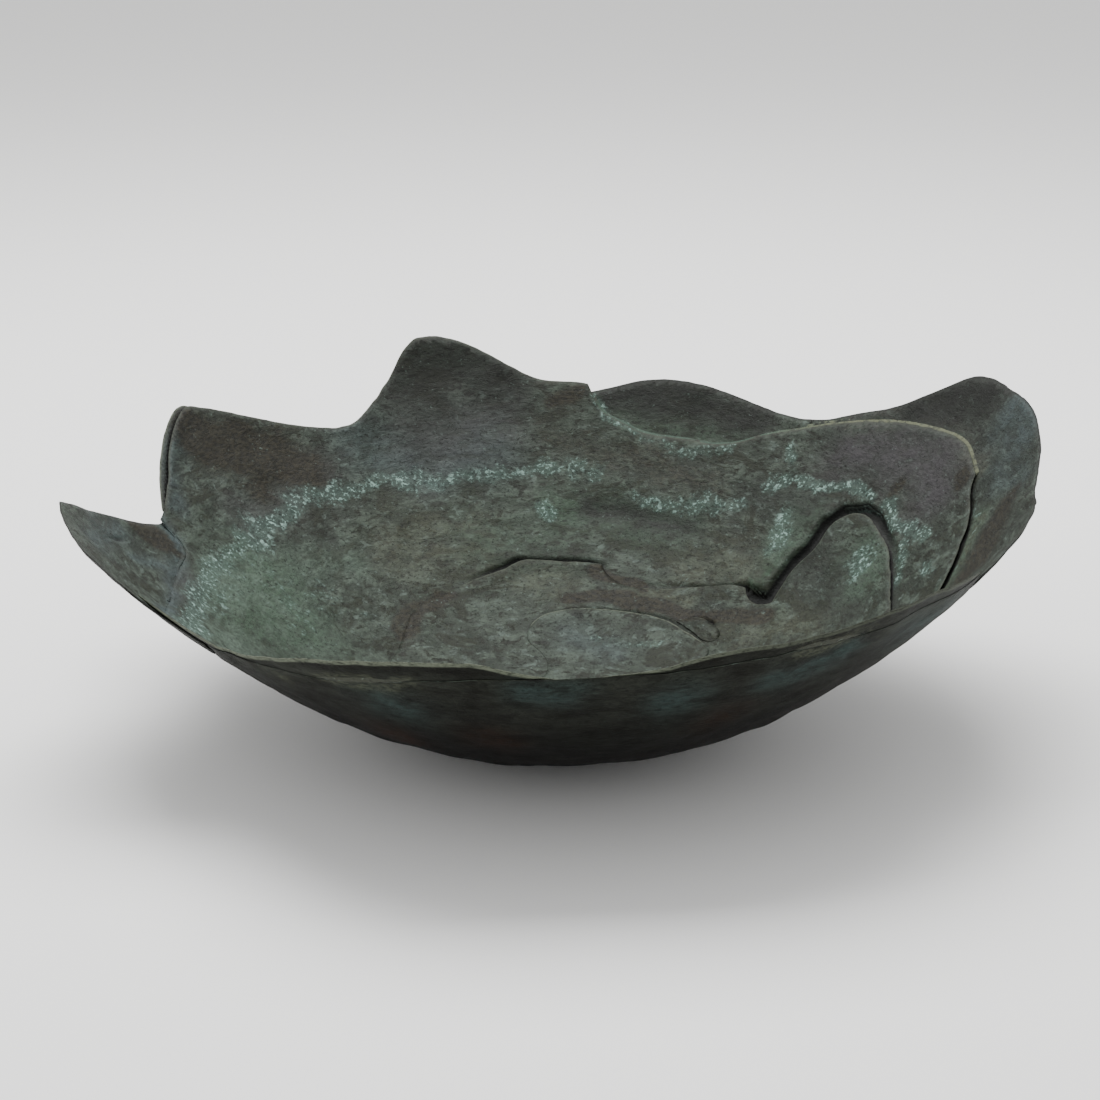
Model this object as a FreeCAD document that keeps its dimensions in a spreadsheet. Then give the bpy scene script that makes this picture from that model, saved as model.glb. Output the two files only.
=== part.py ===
# Free-form bowl raised from hammered copper sheet, as a FreeCAD document.
#
# Every sheet is a piece of one leaning shell: a spherical bottom that turns into a flatter
# wall. The sheets lie in layers, each one sheet thickness further in than the one below, and
# each sheet is trimmed to its own outline seen from above. Sheets in one layer meet edge to
# edge. Sheets in neighbouring layers lap, face to face, and braze runs lie in the steps.
#
# Frame: millimetres, +Z up, +X to the right, +Y to the back. The origin is the centre of the
# flat spot that the bowl rests on.
import FreeCAD, Part
import math
import os
import Sketcher

doc = FreeCAD.newDocument("copper_bowl")

# --- driving dimensions ---------------------------------------------------------------------

SIZES = [
    ("rim_reach", 215.0),        # mean reach of the rim from the centre, seen from above
    ("dish_radius", 242.0),      # outer radius of the spherical bottom
    ("wall_radius", 430.0),      # outer radius of the wall above it, in section
    ("turn_angle", 37.0),        # slope at which the bottom turns into the wall
    ("blank_angle", 76.0),       # slope at the edge of the untrimmed shell
    ("lean_angle", 5.0),         # how far the shell's axis leans to the left
    ("flat_depth", 0.6),         # how much the bottom is flattened where it rests
    ("sheet_thickness", 1.25),   # copper sheet
    ("butt_gap", 0.4),           # gap where two sheets of one layer meet edge to edge
    ("braze_width", 2.6),        # width of a braze run
    ("braze_height", 0.9),       # height of a braze run, less than a sheet
]

sheet = doc.addObject("Spreadsheet::Sheet", "Sizes")
for row, (alias, value) in enumerate(SIZES, start=1):
    sheet.set(f"A{row}", alias)
    sheet.set(f"B{row}", str(value))
    sheet.setAlias(f"B{row}", alias)
doc.recompute()


def size(alias):
    """The value of a named size."""
    return float(sheet.get(alias))


# --- outlines, as (angle in degrees from +X towards +Y, reach from the centre) --------------
# They are drawn for this mean rim reach, and they grow and shrink with rim_reach.

DRAWN_REACH = 215.0

# Rims, counter-clockwise.
RIM_LOBE = [
    (-28, 204), (-20, 213), (-14, 215.5), (-8, 215.5), (0, 220), (5, 224.5), (12, 230),
    (20, 232), (27, 231.5), (31.5, 225.5), (37, 216.5), (43.5, 210.3), (48.5, 205.9), (49.95, 205.4),
]
RIM_CREST = [
    (50.05, 205.4), (53.7, 205.4), (57, 206.7), (63, 210.2), (69, 213.5), (75, 214.5), (81, 211.5),
    (85, 209),
]
RIM_HUMP = [
    (85, 211), (88, 212), (92, 213), (96, 218), (101, 225), (106, 229), (109.5, 228),
    (113, 219), (117, 209.5), (121, 203), (125, 203), (132, 209), (138, 216), (143.5, 222),
]
RIM_LOBE_LEFT = [
    (143.5, 222), (145.3, 223.4), (147.3, 221.7), (151.2, 216), (156.3, 205.6), (160, 199.3),
    (163, 195), (166, 192),
]
RIM_POINT_TOP = [(166, 192), (171, 196.5), (176.5, 205.5), (182, 215.5), (187, 222.5)]
RIM_POINT_FRONT = [(187, 222.5), (192, 221), (201, 217.5), (206, 214), (211, 210)]
RIM_FRONT = [
    (210.5, 203.5), (212, 197), (215.5, 191), (219, 187.5), (223, 186.5), (229, 189.5),
    (239, 197), (253, 203.5), (262, 203.5), (265.5, 200), (270, 196.5), (277.5, 196.5),
    (284, 200.5), (287, 203), (293, 204), (302, 204.5), (310, 207.5), (320, 208), (332, 204),
]

# The dish's own edge, which is the lap line outside, below the front rim.
LAP_LEFT = [(217, 184), (230, 187.5), (239, 187)]
LAP_BRAZE_LEFT = [(239, 187), (246, 190.5), (253, 194.5)]
LAP_MIDDLE = [(253, 194.5), (262, 197.5), (270, 198.3), (278, 198.3), (286.5, 198.5), (298, 200)]
LAP_BRAZE_RIGHT = [(298, 200), (303, 200.3), (308, 200)]
LAP_RIGHT = [(308, 200), (317, 202), (326, 204), (332, 204)]

# Seams that show inside, where a sheet of the next layer ends.
RIGHT_SEAM_BRAZE = [
    (47, 203.4), (41.3, 207), (36, 209.9), (29, 211.5), (23.5, 212), (20.5, 211), (17, 208), (13.5, 205),
]
RIGHT_SEAM_OPEN = [(13.5, 205), (10, 197.5), (6, 193.5), (2, 188), (-7, 177), (-16, 166), (-25, 157)]
BACK_SEAM_BRAZE = [
    (47, 203.4), (51, 200.3), (56, 196.2), (60, 191.8), (64, 189.6), (68, 190.5), (76.5, 192.5),
    (80.5, 197), (82, 199), (84, 205),
]
BACK_SEAM_STEP = [(84, 205), (85, 211)]
LEFT_SEAM_TOP = [(166, 192), (166.4, 188.5)]
LEFT_SEAM_BRAZE = [(166.4, 188.5), (167.5, 180), (173, 176), (181, 174.5), (191, 176)]
LEFT_SEAM_LOW = [(191, 176), (198, 180), (204, 185)]
FRONT_SEAM_LEFT = [(204, 185), (208, 193), (210.5, 203.5)]
FRONT_SEAM_RIGHT = [(332, 204), (331, 186), (332, 168), (335, 157)]
FLOOR_BUTT = [
    (204, 185), (209, 165), (213, 140), (225, 105), (245, 85), (270, 78), (295, 82),
    (315, 105), (327, 135), (335, 157),
]

# Hidden edges of the outermost sheets, where they meet the dish edge to edge.
LOBE_ROOT = [(-28, 204), (-22, 188), (-10, 176), (0, 173), (12, 185), (22, 193), (34, 190), (48, 184)]
LOBE_END = [(48, 184), (49.95, 205.4)]
CREST_ROOT = [(50.5, 184), (60, 177), (70, 176), (80, 179), (91, 183)]
CREST_RIGHT_END = [(50.5, 184), (50.05, 205.4)]
CREST_LEFT_END = [(85, 209), (90, 206), (91, 195), (91, 183)]
DISH_BACK = [(91, 183), (105, 184), (125, 180), (145, 178), (160, 172)]
POINT_ROOT = [(160, 172), (172, 160), (185, 158), (200, 163), (212, 172), (217, 184)]
POINT_RIGHT_END = [(160, 172), (163, 181), (164.5, 191), (166, 192)]
POINT_FRONT_END = [(211, 210), (213, 193), (217, 184)]
BACKING_OUTER = [
    (143.5, 219), (145, 225), (147.5, 224.4), (149.5, 221.9), (154, 214.1), (159, 204.2), (163.3, 195.4),
]
BACKING_INNER = [(163.3, 195.4), (160.5, 187), (152, 188), (146, 202), (143.5, 219)]

# The sheets on the floor.
LINER_BACK = [
    (148, 90), (138, 98.5), (128, 110.5), (117, 115.5), (108, 121), (101.5, 124.5),
    (97.5, 128.3), (94, 128.7), (84, 127), (79, 127),
]
LINER_STEP = [(79, 127), (77, 122), (70.5, 116), (56, 120.5), (42, 127.5)]
LINER_PIT = [(42, 127.5), (40, 124), (36.5, 122.5), (33, 126)]
LINER_TONGUE = [
    (33, 126), (34.7, 137), (35, 148), (34, 155), (34.5, 166), (33.2, 171.5), (30.5, 174.3),
    (27.5, 174), (23, 171), (18, 168), (12.5, 163), (5.5, 157.5), (-1, 155), (-10, 153),
]
LINER_FRONT = [
    (-10, 153), (-25, 143), (-50, 126), (-85, 112), (-120, 106), (-160, 92), (170, 84), (148, 90),
]
LEAF_EDGE = [
    (98, 72), (99.6, 80), (96, 89.5), (90, 95.3), (82, 97.3), (64, 98.3), (55, 97), (45, 93), (36, 91),
    (30, 84),
]
LEAF_FRONT = [
    (30, 84), (10, 70), (-20, 52), (-60, 40), (-110, 34), (160, 30), (110, 36), (94, 52), (98, 72),
]
SLIVER_OUTER = [(52.5, 98.8), (49.8, 102), (46.3, 104), (42, 103.3), (38.5, 101.9), (36.3, 99.8)]
SLIVER_INNER = [(36.3, 99.8), (36, 96.5), (39, 93.7), (43.6, 94.8), (48.3, 96.9), (52.5, 98.8)]


def shifted(run, shift):
    """A run moved outwards by a number of millimetres."""
    return [(angle, reach, shift) for angle, reach in run]


def backwards(run):
    """A run taken the other way round."""
    return list(reversed(run))


def plan_point(angle, reach, shift=0.0):
    """A point seen from above, at the bowl's real size."""
    radius = reach * size("rim_reach") / DRAWN_REACH + shift
    turn = math.radians(angle)
    return FreeCAD.Vector(radius * math.cos(turn), radius * math.sin(turn), 0)


def run_curve(points):
    """A straight line through two points, or a smooth curve through more."""
    if len(points) == 2:
        return Part.LineSegment(points[0], points[1])
    curve = Part.BSplineCurve()
    curve.interpolate(points)
    return curve


def outline_curves(runs):
    """A closed outline: each run as a curve, with a line across any step between two runs."""
    rows = [[plan_point(*corner) for corner in run] for run in runs]
    curves = []
    for points, following in zip(rows, rows[1:] + rows[:1]):
        curves.append(run_curve(points))
        if points[-1].distanceToPoint(following[0]) > 0.001:
            curves.append(Part.LineSegment(points[-1], following[0]))
    return curves


# --- the layered shell ----------------------------------------------------------------------

def origin_plane(body, role):
    """One of a body's own origin planes."""
    return next(item for item in body.Origin.OriginFeatures if item.Role == role)


def new_sketch(body, name, role):
    """A sketch on one of the body's own origin planes."""
    sketch = body.newObject("Sketcher::SketchObject", name)
    sketch.AttachmentSupport = [(origin_plane(body, role), "")]
    sketch.MapMode = "FlatFace"
    return sketch


def bind(sketch, constraint, name, expression):
    """Add a constraint, name it, and tie it to the sizes."""
    index = sketch.addConstraint(constraint)
    sketch.renameConstraint(index, name)
    sketch.setExpression(f"Constraints.{name}", expression)


def section_geometry(outer_offset, inner_offset):
    """The section of one layer: two arcs outside, two inside, and the edges that close them."""
    lean = size("lean_angle")
    turn = size("turn_angle") + lean
    blank = size("blank_angle") + lean
    dish = size("dish_radius")
    wall = size("wall_radius")
    centre = FreeCAD.Vector(0, dish - size("flat_depth"), 0)

    def toward(slope):
        angle = math.radians(slope - 90)
        return FreeCAD.Vector(math.cos(angle), math.sin(angle), 0)

    def arc(middle, radius, start, end):
        circle = Part.Circle(middle, FreeCAD.Vector(0, 0, 1), radius)
        return Part.ArcOfCircle(circle, math.radians(start - 90), math.radians(end - 90))

    wall_centre = centre + toward(turn) * (dish - wall)
    arcs = []
    for offset in (outer_offset, inner_offset):
        arcs.append(arc(centre, dish - offset, lean, turn))
        arcs.append(arc(wall_centre, wall - offset, turn, blank))
    foot = [centre + toward(lean) * (dish - offset) for offset in (outer_offset, inner_offset)]
    brim = [wall_centre + toward(blank) * (wall - offset) for offset in (outer_offset, inner_offset)]
    edges = [Part.LineSegment(foot[0], foot[1]), Part.LineSegment(brim[0], brim[1])]
    guides = [
        Part.LineSegment(centre, foot[0]),
        Part.LineSegment(wall_centre, centre + toward(turn) * dish),
        Part.LineSegment(wall_centre, brim[0]),
    ]
    return arcs + edges, guides


def draw_section(sketch, outer, inner):
    """Draw and constrain a layer's section. outer and inner are offset expressions."""
    outer_offset = evaluated(outer)
    inner_offset = evaluated(inner)
    solid, guides = section_geometry(outer_offset, inner_offset)
    dish_out, wall_out, dish_in, wall_in, foot, brim = [sketch.addGeometry(item) for item in solid]
    axis, turn_line, blank_line = [sketch.addGeometry(item, True) for item in guides]

    start, end, centre = 1, 2, 3
    pairs = [
        (dish_out, start, foot, start), (dish_in, start, foot, end),
        (dish_out, end, wall_out, start), (dish_in, end, wall_in, start),
        (wall_out, end, brim, start), (wall_in, end, brim, end),
        (dish_in, centre, dish_out, centre), (wall_in, centre, wall_out, centre),
        (axis, start, dish_out, centre), (axis, end, foot, start),
        (turn_line, start, wall_out, centre), (turn_line, end, dish_out, end),
        (blank_line, start, wall_out, centre), (blank_line, end, brim, start),
    ]
    for pair in pairs:
        sketch.addConstraint(Sketcher.Constraint("Coincident", *pair))
    on_line = [
        (foot, end, axis), (dish_out, centre, turn_line), (dish_in, end, turn_line),
        (brim, end, blank_line), (dish_out, centre, -2),
    ]
    for item in on_line:
        sketch.addConstraint(Sketcher.Constraint("PointOnObject", *item))

    def radius(geometry, name, expression):
        value = sketch.Geometry[geometry].Radius
        bind(sketch, Sketcher.Constraint("Radius", geometry, value), name, expression)

    radius(dish_out, "dish_outer", f"Sizes.dish_radius - ({outer})")
    radius(dish_in, "dish_inner", f"Sizes.dish_radius - ({inner})")
    radius(wall_out, "wall_outer", f"Sizes.wall_radius - ({outer})")
    height = size("dish_radius") - size("flat_depth")
    centre_height = Sketcher.Constraint("DistanceY", -1, 1, dish_out, centre, height)
    bind(sketch, centre_height, "centre_height", "Sizes.dish_radius - Sizes.flat_depth")

    slopes = [
        (axis, "axis_slope", "Sizes.lean_angle"),
        (turn_line, "turn_slope", "Sizes.lean_angle + Sizes.turn_angle"),
        (blank_line, "blank_slope", "Sizes.lean_angle + Sizes.blank_angle"),
    ]
    for line, name, expression in slopes:
        value = math.radians(evaluated(expression) - 90)
        angle = Sketcher.Constraint("Angle", line, value)
        bind(sketch, angle, name, f"({expression}) * 1 deg - 90 deg")


def evaluated(expression):
    """The number that an expression of the sizes gives."""
    total = 0.0
    for term in expression.split(" + "):
        product = 1.0
        for factor in term.split(" * "):
            if factor.startswith("Sizes."):
                product *= size(factor[len("Sizes."):])
            else:
                product *= float(factor)
        total += product
    return total


def trim(body, runs):
    """Cut away everything of the body outside an outline seen from above."""
    sketch = new_sketch(body, body.Name + "_outline", "XY_Plane")
    around = Part.Circle(FreeCAD.Vector(0, 0, 0), FreeCAD.Vector(0, 0, 1), blank_reach())
    sketch.addGeometry(around)
    for curve in outline_curves(runs):
        sketch.addGeometry(curve)
    pocket = body.newObject("PartDesign::Pocket", body.Name + "_trim")
    pocket.Profile = sketch
    pocket.Type = "ThroughAll"
    pocket.Midplane = True
    sketch.Visibility = False
    return pocket


def blank_reach():
    """A reach beyond the edge of every untrimmed shell."""
    return 2 * (size("dish_radius") + size("wall_radius"))


def make_sheet(label, outer, inner, runs):
    """One piece: a layer of the shell between two offsets, trimmed to its outline."""
    body = doc.addObject("PartDesign::Body", label)
    body.Label = label
    section = new_sketch(body, label + "_section", "XZ_Plane")
    draw_section(section, outer, inner)
    shell = body.newObject("PartDesign::Revolution", label + "_shell")
    shell.Profile = section
    shell.ReferenceAxis = (section, ["Axis0"])
    shell.Angle = 360
    section.Visibility = False
    doc.recompute()
    before = shell.Shape.Volume
    pocket = trim(body, runs)
    doc.recompute()
    if not pocket.Shape.Volume < before:
        raise RuntimeError(label + ": trimming cut nothing")
    return body


def layer(number):
    """Where a layer's outer and inner faces lie, as offsets into the bowl."""
    return f"{number} * Sizes.sheet_thickness", f"{number + 1} * Sizes.sheet_thickness"


def make_braze(label, outer, inner, seam):
    """A braze run that lies against the edge of a sheet, on the outer side of a seam."""
    runs = [shifted(seam, 0), shifted(backwards(seam), size("braze_width"))]
    return make_sheet(label, outer, inner, runs)


# --- the pieces -----------------------------------------------------------------------------

def make_outer_dish():
    """Bottom and lower wall, flattened where it rests."""
    away = -size("butt_gap")
    runs = [
        LAP_LEFT, LAP_BRAZE_LEFT, LAP_MIDDLE, LAP_BRAZE_RIGHT, LAP_RIGHT,
        shifted(LOBE_ROOT, away), shifted(CREST_ROOT, away), DISH_BACK, shifted(POINT_ROOT, away),
    ]
    body = make_sheet("outer_dish", *layer(0), runs)
    sketch = new_sketch(body, "outer_dish_flat_outline", "XY_Plane")
    around = Part.Circle(FreeCAD.Vector(0, 0, 0), FreeCAD.Vector(0, 0, 1), size("rim_reach"))
    sketch.addGeometry(around)
    flat = body.newObject("PartDesign::Pocket", "outer_dish_flat")
    flat.Profile = sketch
    flat.Type = "ThroughAll"
    before = body.Shape.Volume
    doc.recompute()
    if not flat.Shape.Volume < before:
        raise RuntimeError("the flat spot cut nothing")


def make_outer_sheets():
    """The other sheets of the outermost layer, which carry the rim above the dish."""
    make_sheet("right_lobe", *layer(0), [RIM_LOBE, backwards(LOBE_END), backwards(LOBE_ROOT)])
    crest = [RIM_CREST, CREST_LEFT_END, backwards(CREST_ROOT), CREST_RIGHT_END]
    make_sheet("back_crest", *layer(0), crest)
    point = [
        RIM_POINT_TOP, RIM_POINT_FRONT, POINT_FRONT_END, backwards(POINT_ROOT), POINT_RIGHT_END,
    ]
    make_sheet("left_point", *layer(0), point)
    make_sheet("left_backing", *layer(0), [BACKING_OUTER, BACKING_INNER])


def make_wall_sheets():
    """The two sheets that line the dish and lap over the outermost layer."""
    away = -size("butt_gap")
    back = [
        BACK_SEAM_BRAZE, BACK_SEAM_STEP, RIM_HUMP, RIM_LOBE_LEFT,
        LEFT_SEAM_TOP, LEFT_SEAM_BRAZE, LEFT_SEAM_LOW, shifted(FLOOR_BUTT, away),
        backwards(RIGHT_SEAM_OPEN), backwards(RIGHT_SEAM_BRAZE),
    ]
    make_sheet("back_wall", *layer(1), back)
    front = [FRONT_SEAM_LEFT, RIM_FRONT, FRONT_SEAM_RIGHT, backwards(FLOOR_BUTT)]
    make_sheet("front_wall", *layer(1), front)


def make_floor_sheets():
    """The liner with its tongue, and the two patches on it."""
    liner = [LINER_BACK, LINER_STEP, LINER_PIT, LINER_TONGUE, LINER_FRONT]
    make_sheet("floor_liner", *layer(2), [backwards(run) for run in reversed(liner)])
    leaf = [LEAF_EDGE, LEAF_FRONT]
    make_sheet("floor_leaf", *layer(3), [backwards(run) for run in reversed(leaf)])
    sliver = [SLIVER_OUTER, SLIVER_INNER]
    make_sheet("floor_sliver", *layer(3), [backwards(run) for run in reversed(sliver)])


def make_brazes():
    """Braze runs inside lie on the outermost layer, and those outside lie on the next one."""
    inside = ("1 * Sizes.sheet_thickness", "1 * Sizes.sheet_thickness + Sizes.braze_height")
    make_braze("right_seam_braze", *inside, RIGHT_SEAM_BRAZE)
    make_braze("back_seam_braze", *inside, BACK_SEAM_BRAZE)
    make_braze("left_seam_braze", *inside, LEFT_SEAM_BRAZE)
    outside = ("1 * Sizes.sheet_thickness + -1 * Sizes.braze_height", "1 * Sizes.sheet_thickness")
    make_braze("front_braze_left", *outside, LAP_BRAZE_LEFT)
    make_braze("front_braze_right", *outside, LAP_BRAZE_RIGHT)


make_outer_dish()
make_outer_sheets()
make_wall_sheets()
make_floor_sheets()
make_brazes()
doc.recompute()

# --- checks and output ----------------------------------------------------------------------

for item in doc.Objects:
    if "Invalid" in item.State or "Error" in item.State:
        raise RuntimeError(f"{item.Label} failed: {item.State}")

pieces = [item for item in doc.Objects if item.TypeId == "PartDesign::Body"]
for piece in pieces:
    shape = piece.Shape
    if shape.isNull() or not shape.isValid() or len(shape.Solids) != 1:
        raise RuntimeError(f"{piece.Label} has no single valid solid")

os.makedirs("parts", exist_ok=True)
for piece in pieces:
    piece.Shape.exportStep(f"parts/{piece.Label}.step")
    print(piece.Label, round(piece.Shape.Volume), "mm3")
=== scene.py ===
# The looks of the hammered, patinated sheet-copper bowl, built round the imported CAD frame.
#
# Each CAD sheet is a smooth layer of one leaning shell. Here every sheet is meshed again from
# its own node: its outline comes from the node's edge, and its height from a smooth surface
# fitted to the outermost faces. Then it is hammered, dented, lifted at its torn edges and given
# rounded rims, and masks for the patina and for painted shade and highlight along its rims,
# seams and channels are stored on its vertices.
import math

import bmesh
import bpy
import numpy as np
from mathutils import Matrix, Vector
from mathutils.geometry import delaunay_2d_cdt


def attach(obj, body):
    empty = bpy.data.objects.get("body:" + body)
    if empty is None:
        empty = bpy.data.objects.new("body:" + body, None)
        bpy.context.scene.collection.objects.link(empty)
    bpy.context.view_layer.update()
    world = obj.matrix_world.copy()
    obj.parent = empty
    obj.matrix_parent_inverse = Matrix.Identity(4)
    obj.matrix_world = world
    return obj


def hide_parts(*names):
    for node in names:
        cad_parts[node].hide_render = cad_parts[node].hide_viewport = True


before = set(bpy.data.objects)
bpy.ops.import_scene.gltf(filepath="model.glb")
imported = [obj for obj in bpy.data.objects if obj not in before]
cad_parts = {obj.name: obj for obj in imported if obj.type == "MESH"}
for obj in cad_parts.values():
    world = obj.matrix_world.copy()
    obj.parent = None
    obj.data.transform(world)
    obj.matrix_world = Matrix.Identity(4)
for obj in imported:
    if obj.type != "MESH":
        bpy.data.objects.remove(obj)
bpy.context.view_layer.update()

MM = 0.001

OUTER_SHEETS = ["outer_dish", "right_lobe", "back_crest", "left_point", "left_backing"]
WALL_SHEETS = ["back_wall", "front_wall"]
FLOOR_SHEETS = ["floor_liner", "floor_leaf", "floor_sliver"]
INNER_BRAZES = ["right_seam_braze", "back_seam_braze", "left_seam_braze"]
OUTER_BRAZES = ["front_braze_left", "front_braze_right"]

# What lies on each sheet and ends on it, so that the sheet is painted dark along that edge, as painted
# shade in the crevice under it.
LIES_ON = {
    "outer_dish": ["back_wall", "front_wall"],
    "right_lobe": ["back_wall", "front_wall"],
    "back_crest": ["back_wall"],
    "left_point": ["back_wall", "front_wall"],
    "left_backing": ["back_wall"],
    "back_wall": ["floor_liner"],
    "front_wall": ["floor_liner"],
    "floor_liner": ["floor_leaf", "floor_sliver"],
}

# --- places on the bowl, as (angle in degrees from +X towards +Y, reach in mm) ----------------

# Channels beaten beside the tongue and the liner: (angle, reach, depth in mm, width in mm).
TONGUE_CHANNEL = [
    (42.4, 128.5, 1.4, 2.2), (40.7, 127, 3.4, 3.8), (38.4, 126.4, 3.8, 4.4), (36.0, 127.5, 3.7, 4.2),
    (35.9, 132, 3.6, 3.3), (36.6, 137, 3.6, 3.1), (37.0, 148, 3.6, 3.1), (36.1, 156, 3.6, 3.0),
    (36.4, 166, 3.7, 3.3), (34.9, 173.2, 3.7, 3.3), (31.2, 176.7, 3.5, 3.0), (27.1, 176.1, 2.6, 2.4),
    (22.6, 173, 1.3, 1.9), (17.5, 169.7, 0.8, 1.8), (12, 164.7, 0.5, 1.8), (5, 159.2, 0.2, 1.8),
]
LINER_CHANNEL = [
    (112, 119.8, 0.2, 1.8), (106, 123.6, 1.1, 1.9), (98, 129.6, 2.1, 2.2), (88, 129.2, 1.6, 1.9),
    (82, 128.6, 2.0, 2.1), (78.5, 127.5, 0.7, 1.7),
]
LINER_STEP_CHANNEL = [
    (69, 117.8, 0.2, 1.6), (58, 121.2, 1.0, 1.9), (50, 124.8, 1.3, 2.0), (43, 129, 2.2, 2.4),
]
LEAF_CHANNEL = [
    (99, 84, 0.1, 1.4), (92, 95.8, 0.5, 1.7), (82, 98.6, 0.9, 1.8), (66, 99.6, 1.0, 1.8),
    (55, 98.6, 0.8, 1.6), (45, 94.6, 0.5, 1.4), (37, 92.4, 0.1, 1.3),
]
SLIVER_CHANNEL = [
    (50.5, 102.6, 0.2, 1.2), (46.4, 105, 1.2, 1.5), (42.8, 104.4, 1.6, 1.6), (41, 103.6, 0.3, 1.2),
]
OPEN_SEAM_CHANNEL = [
    (13.5, 205.6, 0.3, 1.1), (10.3, 198.3, 0.9, 1.2), (6.2, 194.3, 0.5, 1.1), (1.8, 188.7, 0.9, 1.2),
    (-7.4, 177.5, 1.1, 1.3), (-17, 166.3, 0.8, 1.3), (-25, 157.7, 0.2, 1.2),
]
LEFT_SLIT = [(178, 196, 0.2, 1.2), (181.5, 199, 1.1, 1.3), (184.5, 203, 0.2, 1.2)]

# Rolled swellings beside the tongue and sheet edges that stand up: (angle, reach, height, width).
BULB = [
    (42.4, 133.5, 1.0, 5), (40.2, 132, 2.1, 4.6), (39.0, 138, 1.6, 4.4), (39.0, 150, 1.3, 5),
    (38.4, 160, 0.9, 4), (37.8, 170, 0.9, 4),
]
TONGUE_LIFT = [
    (41, 122, 0.1, 5), (36.5, 121, 0.3, 6), (32.6, 128, 0.3, 6), (33.8, 148, 0.3, 7),
    (33.4, 166, 0.4, 7), (29, 173, 0.6, 7), (21, 169, 0.8, 6), (12, 162, 0.7, 5), (0, 155, 0.4, 5),
]
LINER_LIFT = [
    (117, 115, 0.0, 5), (106, 121.5, 0.4, 5), (97.5, 127.5, 0.9, 5), (86, 126.5, 0.7, 5),
    (79.5, 126.5, 1.1, 4),
]
LINER_STEP_LIFT = [(70, 115.5, 0.1, 4), (62, 118, 0.4, 5), (52, 121, 0.6, 5), (43, 126.5, 1.0, 5)]
LEAF_LIFT = [
    (100, 80, 0.6, 4), (95, 90, 0.9, 5), (84, 96.5, 0.7, 5), (66, 97.6, 0.5, 5), (55, 96.5, 0.6, 5),
    (44, 92.4, 0.5, 4),
]
SLIVER_LIFT = [(48, 101.5, 0.4, 3), (44, 102.5, 0.7, 3)]
LOBE_EDGE_LIFT = [
    (146.5, 222.5, 0.3, 3), (150.5, 217.4, 1.4, 4), (153.5, 211.6, 0.7, 3), (157, 204.6, 1.1, 4),
    (161, 197.6, 0.8, 3), (164, 193.4, 0.2, 3),
]
# Soft dents and swellings: (angle, reach, height in mm, width in mm).
LOBE_SWELLINGS = [
    (-9, 213, -1.4, 7), (16, 226, 0.9, 14), (-14, 204, -1.2, 10), (3, 209, -0.9, 12), (31, 224, -0.8, 9),
]
WALL_SWELLINGS = [
    (136, 156, -0.9, 6), (97.4, 212.6, -0.9, 1.6), (118, 190, -0.8, 13), (150, 190, 0.9, 16),
    (101, 190, 0.8, 18), (30, 195, 0.9, 16), (88, 160, 0.8, 12), (170, 178, 0.7, 8),
]
DARK_GROOVE = [(86, 158, -0.3, 6), (80, 156, -1.3, 6), (72, 154.5, -1.6, 6), (63, 152.5, -0.9, 6)]
LEFT_FOLD = [(188, 176, 0.3, 4), (178, 179, 0.8, 4), (171, 184, 0.4, 4)]

# Edges hammered down until they hardly show: (strength, width in mm, line).
FLUSH = {
    "floor_liner": [
        (1.0, 5, [(78.6, 126.6), (77, 121.6), (71.5, 116.4)]),
        (0.75, 7, [(148, 90), (138, 98.5), (128, 110.5), (119, 114.8)]),
    ],
    "left_point": [(1.0, 5, [(160, 172), (163, 181), (164.5, 191), (166, 192)])],
    "floor_leaf": [
        (1.0, 9, [(30, 84), (10, 70), (-20, 52), (-60, 40), (-110, 34),
                  (160, 30), (110, 36), (94, 52), (97, 68)]),
        (1.0, 4, [(97, 68), (99.4, 79)]),
    ],
    "floor_sliver": [
        (1.0, 3.5, [(42, 103.3), (38.5, 101.9), (36.3, 99.8), (36, 96.5), (39, 93.7), (43.6, 94.8),
                    (48.3, 96.9), (52.5, 98.8)]),
    ],
    "back_wall": [(1.0, 6, [(166, 192), (167.5, 180), (173, 176), (181, 174.5), (191, 176), (204, 185)])],
    "outer_dish": [
        (0.8, 7, [(217, 184), (230, 187.5), (239, 187), (253, 194.5), (270, 198.3), (286.5, 198.5),
                  (300, 200), (317, 202), (332, 204)]),
    ],
}


def negative(run):
    """A channel as a ridge of negative height."""
    return [(angle, reach, -height, width) for angle, reach, height, width in run]


# Runs with a flat crest and steep sides, then runs with a soft crest, for each sheet.
SHARP = 4
SOFT = 2
UNDER_TONGUE = [(SHARP, negative(TONGUE_CHANNEL)), (SOFT, BULB)]
BEHIND_LINER = [(SHARP, negative(LINER_CHANNEL)), (SHARP, negative(LINER_STEP_CHANNEL))]
SHAPING = {
    "outer_dish": UNDER_TONGUE + [(SHARP, negative(OPEN_SEAM_CHANNEL))] + BEHIND_LINER,
    "right_lobe": UNDER_TONGUE + [(SHARP, negative(OPEN_SEAM_CHANNEL))],
    "left_point": [(SHARP, negative(LEFT_SLIT)), (SOFT, LEFT_FOLD)],
    "back_wall": UNDER_TONGUE + BEHIND_LINER + [(SOFT, LOBE_EDGE_LIFT), (SOFT, LEFT_FOLD)],
    "front_wall": UNDER_TONGUE,
    "floor_liner": [
        (SOFT, TONGUE_LIFT), (SOFT, LINER_LIFT), (SOFT, LINER_STEP_LIFT),
        (SHARP, negative(LEAF_CHANNEL)), (SHARP, negative(SLIVER_CHANNEL)),
    ],
    "floor_leaf": [(SOFT, LEAF_LIFT)],
    "floor_sliver": [(SOFT, SLIVER_LIFT)],
}

# Sheets whose edges are painted pale, partly as wear and partly as painted highlight where the edges
# catch light. The others have dark edges, painted as shade.
PALE_EDGES = {
    "front_wall": 0.9, "floor_liner": 0.3, "floor_leaf": 0.7, "floor_sliver": 0.6, "left_backing": 0.8,
    "back_wall": 0.25, "outer_dish": 0.35,
}

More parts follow.
